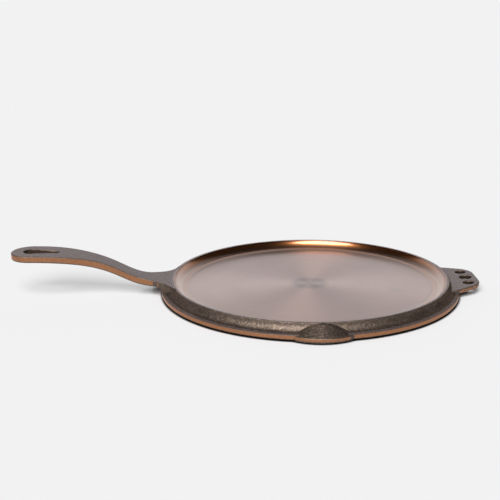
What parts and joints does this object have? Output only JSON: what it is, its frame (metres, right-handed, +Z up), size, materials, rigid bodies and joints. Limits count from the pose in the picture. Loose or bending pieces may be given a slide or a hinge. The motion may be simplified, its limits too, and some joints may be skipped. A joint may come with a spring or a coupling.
{
  "type": "griddle",
  "caption": "Round cast iron griddle with a shallow turned well, a long rising handle with a hanging hole, a pierced helper tab and a lug on each side.",
  "frame": {"origin": "centre of the plate on the plane it rests on", "axes": "+Z up, handle along -X, helper tab along +X, lugs along -Y and +Y"},
  "size_m": [0.4397, 0.2926, 0.0424],
  "materials": {
    "turned_iron": "turned bright and lightly seasoned, with fine concentric tool lines",
    "cast_skin": "fine sand-cast skin with dark seasoning",
    "ground_edge": "ground edge with bronze-brown seasoning"
  },
  "bodies": {
    "root": {"cooking_floor": "turned_iron", "turned_wall": "turned_iron", "lip_skirt": "cast_skin", "base_flange": "ground_edge", "handle_neck": "cast_skin", "handle_grip": "cast_skin", "handle_end": "cast_skin", "helper_tab": "cast_skin", "near_lug": "cast_skin", "far_lug": "cast_skin"}
  },
  "joints": []
}
